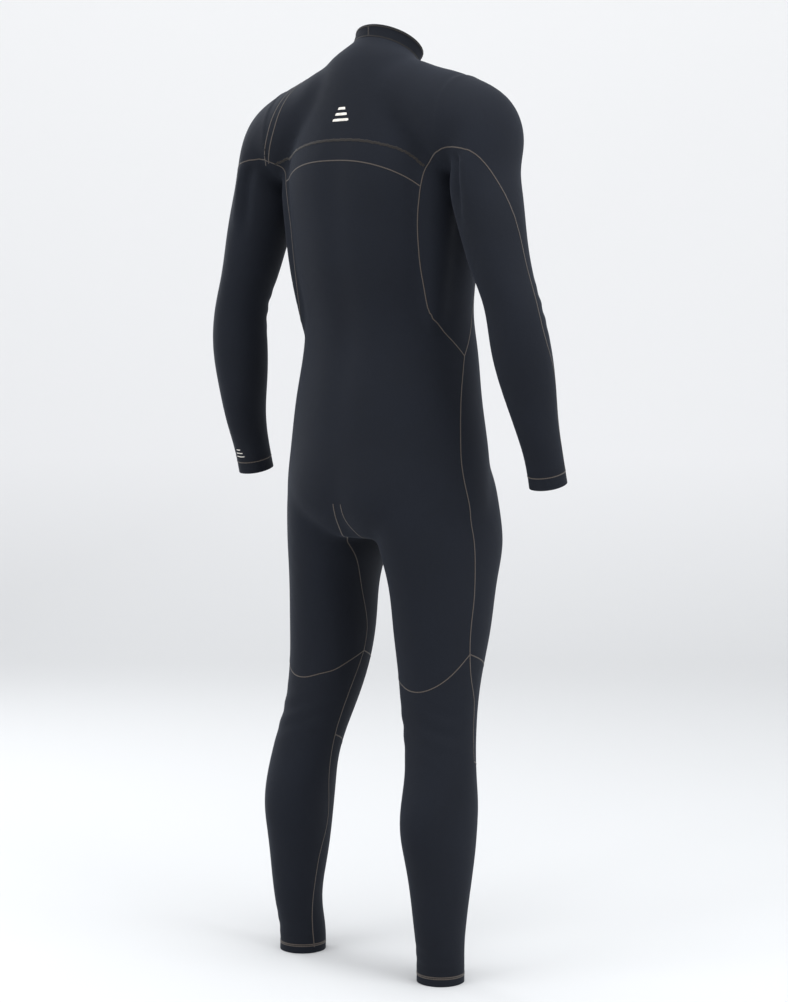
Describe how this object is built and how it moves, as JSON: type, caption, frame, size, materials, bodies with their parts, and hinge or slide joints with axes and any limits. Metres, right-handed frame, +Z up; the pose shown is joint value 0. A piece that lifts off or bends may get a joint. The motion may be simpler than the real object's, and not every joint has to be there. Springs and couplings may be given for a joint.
{
  "type": "full wetsuit",
  "caption": "Full-length neoprene wetsuit with chest zip, stand-up collar, long sleeves and legs, standing as on a body, with jointed shoulders, elbows, hips and knees.",
  "frame": {"origin": "centre of the neck opening, on the wearer's mid-plane, where the form that holds the suit up comes out of it", "axes": "+Z up along the standing body, +X to the wearer's left, -Y out of the chest (the zip's side), +Y out of the back"},
  "size_m": [0.6626, 0.2618, 1.4714],
  "materials": {
    "neoprene_body": "matte fine-knit jersey over neoprene",
    "neoprene_cuff": "matte fine-knit jersey over neoprene",
    "neoprene_collar": "matte soft jersey over thin neoprene",
    "knee_print": "hard-wearing matte jersey",
    "smooth_rubber": "smooth skin",
    "zip_tape": "woven tape",
    "zip_teeth": "moulded",
    "zip_metal": "coated",
    "pull_tab": "moulded",
    "flap_lining": "brushed lining"
  },
  "bodies": {
    "torso": {"shoulder_yoke": "neoprene_body", "back_band": "neoprene_body", "back_panel": "neoprene_body", "chest_yoke": "neoprene_body", "front_panel": "neoprene_body", "left_underarm_panel": "neoprene_body", "right_underarm_panel": "neoprene_body", "crotch_gusset": "neoprene_body", "left_hip_panel": "neoprene_body", "right_hip_panel": "neoprene_body", "collar_back": "neoprene_collar", "collar_front": "neoprene_collar", "neck_seal": "smooth_rubber", "zip_tape_upper": "zip_tape", "zip_tape_lower": "zip_tape", "zip_teeth_upper": "zip_teeth", "zip_teeth_lower": "zip_teeth", "zip_stop_left": "zip_teeth", "zip_stop_right": "zip_teeth", "zip_backing_flap": "flap_lining"},
    "left_upper_arm": {"left_sleeve_back": "neoprene_body", "left_sleeve_front": "neoprene_body", "left_elbow_panel": "neoprene_body"},
    "left_forearm": {"left_forearm_back": "neoprene_body", "left_forearm_front": "neoprene_body", "left_wrist_cuff": "neoprene_cuff"},
    "left_thigh": {"left_thigh_back": "neoprene_body", "left_thigh_front": "neoprene_body", "left_knee_pad": "knee_print", "left_knee_back_panel": "neoprene_body"},
    "left_shin": {"left_calf_back": "neoprene_body", "left_shin_front": "neoprene_body", "left_ankle_cuff": "neoprene_cuff"},
    "right_upper_arm": {"right_sleeve_back": "neoprene_body", "right_sleeve_front": "neoprene_body", "right_elbow_panel": "neoprene_body"},
    "right_forearm": {"right_forearm_back": "neoprene_body", "right_forearm_front": "neoprene_body", "right_wrist_cuff": "neoprene_cuff"},
    "right_thigh": {"right_thigh_back": "neoprene_body", "right_thigh_front": "neoprene_body", "right_knee_pad": "knee_print", "right_knee_back_panel": "neoprene_body"},
    "right_shin": {"right_calf_back": "neoprene_body", "right_shin_front": "neoprene_body", "right_ankle_cuff": "neoprene_cuff"},
    "zip_slider": {"zip_slider": "zip_metal"},
    "zip_pull_tab": {"zip_pull_tab": "pull_tab"}
  },
  "joints": [
    {"name": "left_shoulder", "type": "hinge", "parent": "torso", "child": "left_upper_arm", "pos_m": [0.17, 0.022, -0.134], "axis": [-1, 0, 0], "range_deg": [-30, 75], "stiffness_Nm_per_rad": 3},
    {"name": "left_elbow", "type": "hinge", "parent": "left_upper_arm", "child": "left_forearm", "pos_m": [0.275, 0.042, -0.401], "axis": [-1, 0, 0], "range_deg": [0, 75], "stiffness_Nm_per_rad": 1.5, "deforming": ["left_elbow_panel"]},
    {"name": "left_hip", "type": "hinge", "parent": "torso", "child": "left_thigh", "pos_m": [0.098, -0.002, -0.71], "axis": [-1, 0, 0], "range_deg": [-15, 60], "stiffness_Nm_per_rad": 6, "deforming": ["left_hip_panel"]},
    {"name": "left_knee", "type": "hinge", "parent": "left_thigh", "child": "left_shin", "pos_m": [0.124, 0.026, -1.032], "axis": [1, 0, 0], "range_deg": [0, 75], "stiffness_Nm_per_rad": 3, "deforming": ["left_knee_pad", "left_knee_back_panel"]},
    {"name": "right_shoulder", "type": "hinge", "parent": "torso", "child": "right_upper_arm", "pos_m": [-0.17, 0.022, -0.134], "axis": [-1, 0, 0], "range_deg": [-30, 75], "stiffness_Nm_per_rad": 3},
    {"name": "right_elbow", "type": "hinge", "parent": "right_upper_arm", "child": "right_forearm", "pos_m": [-0.275, 0.042, -0.401], "axis": [-1, 0, 0], "range_deg": [0, 75], "stiffness_Nm_per_rad": 1.5, "deforming": ["right_elbow_panel"]},
    {"name": "right_hip", "type": "hinge", "parent": "torso", "child": "right_thigh", "pos_m": [-0.098, -0.002, -0.71], "axis": [-1, 0, 0], "range_deg": [-15, 60], "stiffness_Nm_per_rad": 6, "deforming": ["right_hip_panel"]},
    {"name": "right_knee", "type": "hinge", "parent": "right_thigh", "child": "right_shin", "pos_m": [-0.124, 0.026, -1.032], "axis": [1, 0, 0], "range_deg": [0, 75], "stiffness_Nm_per_rad": 3, "deforming": ["right_knee_pad", "right_knee_back_panel"]},
    {"name": "zip_slide", "type": "hinge", "parent": "torso", "child": "zip_slider", "pos_m": [0, 0.10374, -0.17], "axis": [0, 0, -1], "range_deg": [0, 70]},
    {"name": "pull_tab_swing", "type": "hinge", "parent": "zip_slider", "child": "zip_pull_tab", "pos_m": [0.12137, -0.06959, -0.17], "axis": [-0.8191, -0.5736, 0], "range_deg": [0, 100]}
  ]
}
